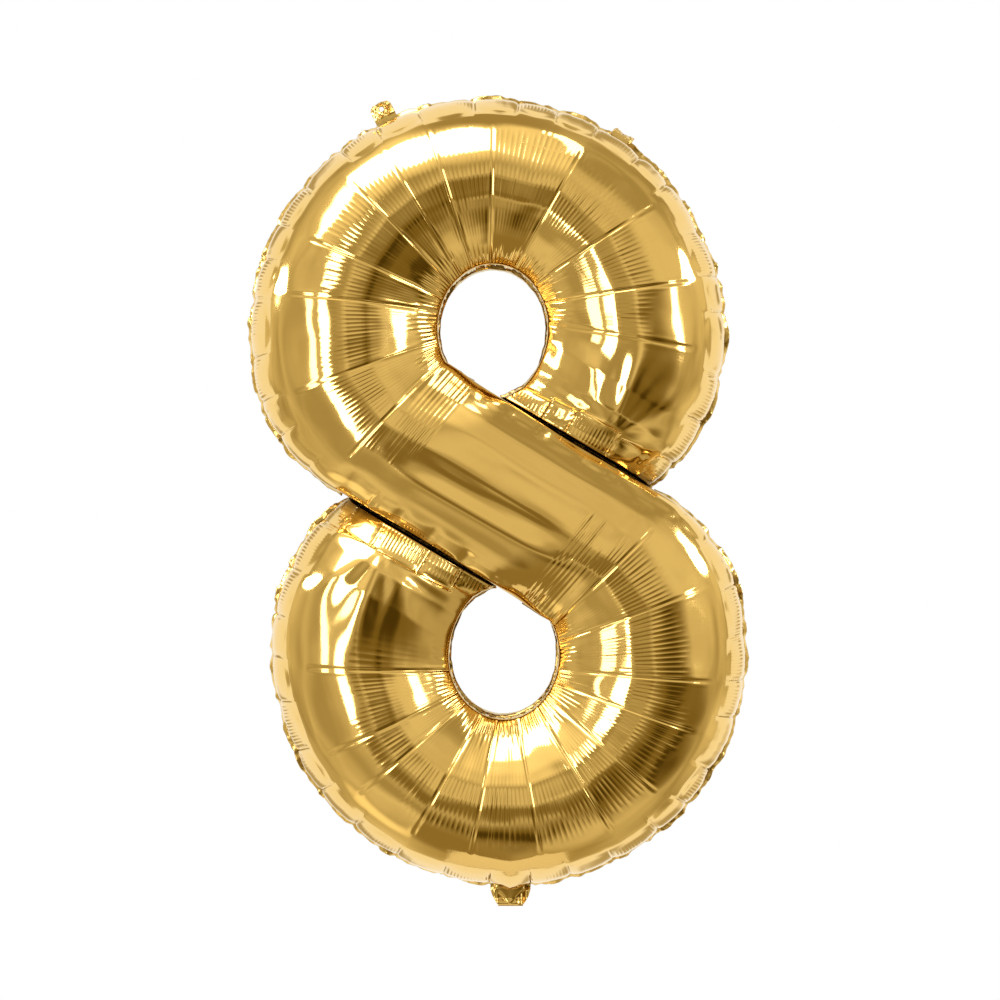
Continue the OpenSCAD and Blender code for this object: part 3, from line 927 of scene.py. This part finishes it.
def tab_outline(theta):
    """Points of a tab's outline in the directions theta from its hole."""
    half_w, kx, ky = TAB_W / 2, TAB_W / 2 - TAB_CORNER, TAB_L - TAB_CORNER
    out = []
    for a in theta:
        c, si = math.cos(a), math.sin(a)
        r = 1e9
        if abs(c) > 1e-9:
            r = min(r, half_w / abs(c))
        if si > 1e-9:
            r = min(r, (TAB_L - TAB_HOLE_AT) / si)
        if si < -1e-9:
            r = min(r, (TAB_HOLE_AT + TAB_ROOT) / -si)
        px, py = r * c, TAB_HOLE_AT + r * si
        if abs(px) > kx and py > ky:
            # slide in to the rounded corner along the same direction
            sx = math.copysign(kx, px)
            b = c * sx + si * (ky - TAB_HOLE_AT)
            q = sx * sx + (ky - TAB_HOLE_AT) ** 2 - TAB_CORNER ** 2
            r = b + math.sqrt(max(b * b - q, 0))
            px, py = r * c, TAB_HOLE_AT + r * si
        out.append((px, py))
    return np.array(out)


TAB_W, TAB_L, TAB_CORNER = 24.0, 16.0, 6.0
TAB_HOLE_AT, TAB_HOLE_R = 9.0, 2.5
# How far a tab reaches down inside the margin, and half its thickness.
TAB_ROOT, TAB_HALF_THICK = 5.6, 0.16


def tab_piece(name, origin, across, up, root, seed, crumple, curl):
    """A crumpled foil tab with a punched hole. Two joined faces round a ring of points."""
    n, rings = 120, 18
    theta = np.arange(n) / n * 2 * math.pi
    outer = tab_outline(theta)
    inner = np.stack([TAB_HOLE_R * np.cos(theta), TAB_HOLE_AT + TAB_HOLE_R * np.sin(theta)], axis=-1)
    t = (np.arange(rings) / (rings - 1))[:, None, None]
    flat = inner[None] * (1 - t) + outer[None] * t
    x, w = flat[..., 0], flat[..., 1]
    free = smooth(-0.5, 5, w) * smooth(2.6, 5.5, np.hypot(x, w - TAB_HOLE_AT))
    y = crumple * (0.7 * facets2(x / 5.0, w / 5.0, seed) + 0.35 * facets2(x / 2.4, w / 2.4, seed + 1)) * free
    y = y + curl * smooth(0, 14, w) * (x / 12.0) ** 2 * free
    normal = np.cross(across, up)
    above, below = np.maximum(w, 0)[..., None], np.minimum(w, 0)[..., None]
    mid = np.asarray(origin) + x[..., None] * across + above * up + below * root + y[..., None] * normal
    top, low = mid + normal * TAB_HALF_THICK, mid - normal * TAB_HALF_THICK
    verts = np.concatenate([top.reshape(-1, 3), low.reshape(-1, 3)])
    faces, size = [], n * rings
    for k in range(rings - 1):
        for i in range(n):
            a, b = k * n + i, k * n + (i + 1) % n
            faces.append([a, a + n, b + n, b])
            faces.append([size + b, size + b + n, size + a + n, size + a])
    last = (rings - 1) * n
    for i in range(n):
        b = (i + 1) % n
        faces.append([i, b, size + b, size + i])
        faces.append([last + b, last + i, size + last + i, size + last + b])
    return make_mesh(name, verts, faces, weld, smooth_shade=False)


def two_films(name, front_grid, back_grid):
    """A closed pillow between two grids that share their border's layout."""
    n, m = front_grid.shape[:2]
    verts = np.concatenate([front_grid.reshape(-1, 3), back_grid.reshape(-1, 3)])
    size = n * m
    faces = grid_faces(n, m)
    faces += [[v + size for v in q[::-1]] for q in grid_faces(n, m)]
    rim = border(n, m)
    for a, b in zip(rim, rim[1:] + rim[:1]):
        faces.append([b, a, a + size, b + size])
    return make_mesh(name, verts, faces, gold)


def hang_tab(name, joint, angle, fold, seed, crumple, curl, node):
    """A tab on the rim at an angle round the loop, folded back by a number of degrees."""
    angle, fold = math.radians(angle), math.radians(fold)
    radial = np.array([math.cos(angle), 0, math.sin(angle)])
    up = radial * math.cos(fold) + np.array([0, 1, 0]) * math.sin(fold)
    across = np.array([radial[2], 0, -radial[0]])
    origin = JOINT_AT[joint]
    tab = tab_piece(name, origin, across, up, radial, seed, crumple, curl)
    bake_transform(tab)
    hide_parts(node)


hang_tab("left_hang_tab", "left_tab_bend", 115, 0, 301, 3.4, -6.0, "hang_tab_left")
hang_tab("right_hang_tab", "right_tab_bend", 56, 75, 317, 2.2, 1.5, "hang_tab_right")

NECK_TOP, NECK_END = JOINT_AT["neck_bend"][2], JOINT_AT["flap_fold"][2]
NECK_ROOT = 7.0
# Length over which the gas space narrows inside the neck, and half the gap between its plies.
NECK_TAPER, NECK_GAP = 15.5, 0.45
FLAP_L = 40.0
FLAP_TURN = math.radians(115)
ACROSS = np.linspace(-1, 1, 81)[:, None]


def filling_neck():
    """The neck's two plies: a dent of gas space at the top, crumpled film, and a curled lip."""
    length = NECK_TOP - NECK_END
    w = np.linspace(-NECK_ROOT, length, 44)[None, :]
    half = np.interp(w, [-NECK_ROOT, 0, 6, 11, 14, length], [21.5, 21.3, 19.5, 16.6, 14.8, 12.6])
    u = ACROSS * half
    down = np.clip(w / NECK_TAPER, 0, 1)
    wedge = NECK_TAPER * (1 - down) + 0.3
    bulge = 2.6 * np.sqrt(np.clip(1 - (np.abs(u + 1.0) / wedge) ** 2.2, 0, 1)) * (1 - down) ** 0.5
    rest = 1 - np.clip(bulge / 1.2, 0, 1)
    creases = 0.35 * facets2(u / 7.0, w / 7.0, 331) + 0.1 * facets2(u / 3.1, w / 3.1, 337)
    creases = creases * (0.08 + 0.92 * rest) * (1 - 0.75 * smooth(8, 12, w))
    ends = smooth(-5, 1, w) * (1 - smooth(14, length, w))
    lip = -4.2 * np.exp(-((u - 17.5) / 3.2) ** 2) * ends - 2.0 * np.exp(-((u + 17.0) / 2.6) ** 2) * ends
    lip = lip + 2.2 * np.exp(-((u - 11.0) / 3.5) ** 2) * ends * rest
    shared = (creases * ends + lip) * 0.9
    x, z = NECK_SIDE + u, NECK_TOP - w + 0 * u
    front_y = shared - NECK_GAP - bulge - 1.8 * smooth(8, 14.5, w) * (1 - smooth(15, length, w))
    back_y = shared + NECK_GAP + 0.75 * bulge
    return two_films("neck_film", *(np.stack([x, y, z], axis=-1) for y in (front_y, back_y)))


def folded_flap():
    """The rest of the neck beyond its fold, turned up behind."""
    w = np.linspace(-0.6, FLAP_L, 60)[None, :]
    half = np.interp(w, [-0.6, 7, 18, 34, FLAP_L], [13.2, 13.8, 17.6, 20.0, 16.5])
    u = ACROSS * half
    creases = 1.3 * facets2(u / 7.5, w / 7.5, 349) + 0.5 * facets2(u / 3.1, w / 3.1, 353)
    creases = creases * smooth(0, 7, w)
    puff = 0.4 + 0.9 * smooth(2, 14, w) * np.sqrt(np.clip(1 - (u / half) ** 2, 0, 1))
    back, up = math.sin(FLAP_TURN), -math.cos(FLAP_TURN)
    films = (np.stack([NECK_SIDE + u + 0 * w, back * w - up * off, NECK_END + up * w + back * off], axis=-1)
             for off in (creases + puff, creases - puff))
    return two_films("flap_film", *films)


neck_obj = filling_neck()
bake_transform(neck_obj)
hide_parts("neck_front_film", "neck_back_film", "neck_side_welds")
flap_obj = folded_flap()
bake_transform(flap_obj)
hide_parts("flap_front_film", "flap_back_film", "flap_side_welds")

# --------------------------------------------------------------------------- valve
def clear_film(name, colour, rough):
    """Soft milky polythene with faint drawn lines."""
    mat, tree, bsdf = new_material(name)
    lines = noise_node(tree, add_node(tree, "TexCoord", {}).outputs["Object"], 120.0).outputs["Fac"]
    shade = tuple(0.88 * c for c in colour)
    tree.links.new(colour_mix(tree, shade, colour, lines), bsdf.inputs["Base Color"])
    bsdf.inputs["Roughness"].default_value = rough
    tree.links.new(bumped(tree, 0.3, 0.0002, lines), bsdf.inputs["Normal"])
    return mat


valve_film = clear_film("valve_polythene", (0.82, 0.84, 0.83), 0.28)
valve_ink = clear_film("release_coating", (0.62, 0.66, 0.72), 0.5)
for name, node_obj in frame["nodes"].items():
    if name.startswith("valve"):
        node_obj.data.materials.clear()
        node_obj.data.materials.append(valve_ink if name.endswith("coating") else valve_film)

# --------------------------------------------------------------------------- light
# Warm grey room on the camera's side, a white backdrop behind the object, and a far wall.
ROOM_LOW = (0.42, 0.36, 0.20)
ROOM_HIGH = (0.82, 0.75, 0.54)
SHADE = (0.20, 0.145, 0.035)
DARKEST = (0.075, 0.05, 0.008)
BACKDROP = (1.04, 1.04, 1.02)
FAR_MID = (0.84, 0.77, 0.58)
FAR_DARK = (0.50, 0.42, 0.23)


def toward(azimuth, elevation):
    az, el = math.radians(azimuth), math.radians(elevation)
    return Vector((math.sin(az) * math.cos(el), -math.cos(az) * math.cos(el), math.sin(el)))


def patch(tree, way, below, azimuth, elevation, inner, outer, colour):
    """A soft round patch of colour on the room's walls."""
    dot = add_node(tree, "VectorMath", {0: way, 1: toward(azimuth, elevation)})
    dot.operation = "DOT_PRODUCT"
    share = ranged(tree, dot.outputs["Value"], math.cos(math.radians(outer)),
                   math.cos(math.radians(inner)), kind="SMOOTHSTEP")
    return colour_mix(tree, below, colour, share)


# Azimuth and elevation off the camera's side, inner and outer radius in degrees, colour.
NEAR_PATCHES = (
    (-28, 58, 16, 40, (1.25, 1.15, 0.85)), (10, 92, 10, 26, (0.40, 0.33, 0.17)),
    (0, -90, 6, 34, (0.42, 0.34, 0.16)), (24, -14, 10, 30, SHADE), (52, -26, 6, 22, SHADE),
    (-2, -48, 5, 22, SHADE), (-35, -66, 6, 20, (0.30, 0.23, 0.09)), (-9, -17, 3, 13, (0.24, 0.18, 0.06)),
    (26, -13, 1, 13, DARKEST), (53, -27, 1, 9, DARKEST), (-2, -49, 1, 9, DARKEST),
    (-76, -52, 3, 13, (1.20, 1.10, 0.80)))
FAR_PATCHES = (
    (180, 4, 4, 24, FAR_MID), (150, -34, 3, 20, FAR_DARK), (160, 38, 3, 19, FAR_DARK),
    (205, -24, 3, 17, FAR_DARK), (139, -18, 2, 13, FAR_MID), (138, 8, 1, 8, FAR_DARK),
    (212, 22, 3, 14, FAR_DARK))


def room_look(tree):
    """Colour of the room in each direction, as the foil reflects it."""
    way = add_node(tree, "TexCoord", {}).outputs["Generated"]
    cloud = noise_node(tree, way, 1.9)
    cloud.inputs["Roughness"].default_value = 0.45
    look = colour_mix(tree, ROOM_LOW, ROOM_HIGH, ranged(tree, cloud.outputs["Fac"], 0.34, 0.66))
    for given in NEAR_PATCHES:
        look = patch(tree, way, look, *given)
    behind = add_node(tree, "SeparateXYZ", {"Vector": way}).outputs["Y"]
    start, end = (math.sin(math.radians(past)) for past in (17, 21))
    look = colour_mix(tree, look, BACKDROP, ranged(tree, behind, start, end))
    for given in FAR_PATCHES:
        look = patch(tree, way, look, *given)
    return look


world = bpy.data.worlds.new("studio")
bpy.context.scene.world = world
world.use_nodes = True
studio = world.node_tree
studio.nodes.clear()
seen = add_node(studio, "Background", {"Color": (1, 1, 1, 1)})
room = add_node(studio, "Background", {"Color": room_look(studio)})
by_ray = add_node(studio, "MixShader", {
    "Fac": add_node(studio, "LightPath", {}).outputs["Is Camera Ray"],
    1: room.outputs["Background"], 2: seen.outputs["Background"]})
add_node(studio, "OutputWorld", {"Surface": by_ray.outputs["Shader"]})


LAMP_AWAY = 2.6


def softbox(name, azimuth, elevation, width, height, radiance, roll=0, shape="RECTANGLE"):
    """A flat lamp, seen from the object at an angle off the camera's side; sizes in degrees."""
    d = toward(azimuth, elevation)
    data = bpy.data.lights.new(name, "AREA")
    data.shape = shape
    data.size = 2 * LAMP_AWAY * math.tan(math.radians(width / 2))
    data.size_y = 2 * LAMP_AWAY * math.tan(math.radians(height / 2))
    data.energy = radiance * data.size * data.size_y * math.pi
    obj = bpy.data.objects.new(name, data)
    bpy.context.scene.collection.objects.link(obj)
    obj.location = d * LAMP_AWAY
    turn = (-d).to_track_quat("-Z", "Y")
    obj.rotation_euler = (turn.to_matrix() @ Matrix.Rotation(math.radians(roll), 3, "Z")).to_euler()


softbox("overhead", -34, 55, 46, 26, 5.0, roll=20)
softbox("high_right", 52, 66, 13, 10, 3.0, shape="ELLIPSE")
softbox("strip_left", -28, 2, 10, 34, 5.0)
softbox("strip_far_left", -44, 2, 7, 26, 3.6)
softbox("side_right", 52, 8, 8, 14, 5.0)
softbox("edge_left", -84, 19, 24, 10, 9.0, shape="ELLIPSE")
softbox("edge_right", 77, 24, 24, 11, 9.0, shape="ELLIPSE")

FLOOR_HALF, FLOOR_DOWN = 0.9, 3.4
floor_mesh = bpy.data.meshes.new("floor")
corners = [(x * FLOOR_HALF, y * FLOOR_HALF, 0) for x, y in ((-1, -1), (1, -1), (1, 1), (-1, 1))]
floor_mesh.from_pydata(corners, [], [(0, 1, 2, 3)])
floor = bpy.data.objects.new("floor", floor_mesh)
bpy.context.scene.collection.objects.link(floor)
floor.location = (0, 0, -FLOOR_DOWN)
floor_mat, _, floor_bsdf = new_material("floor_paper")
floor_bsdf.inputs["Base Color"].default_value = (0.85, 0.83, 0.8, 1)
floor_mesh.materials.append(floor_mat)

view = bpy.context.scene.view_settings
view.view_transform = "Standard"
view.look = "None"
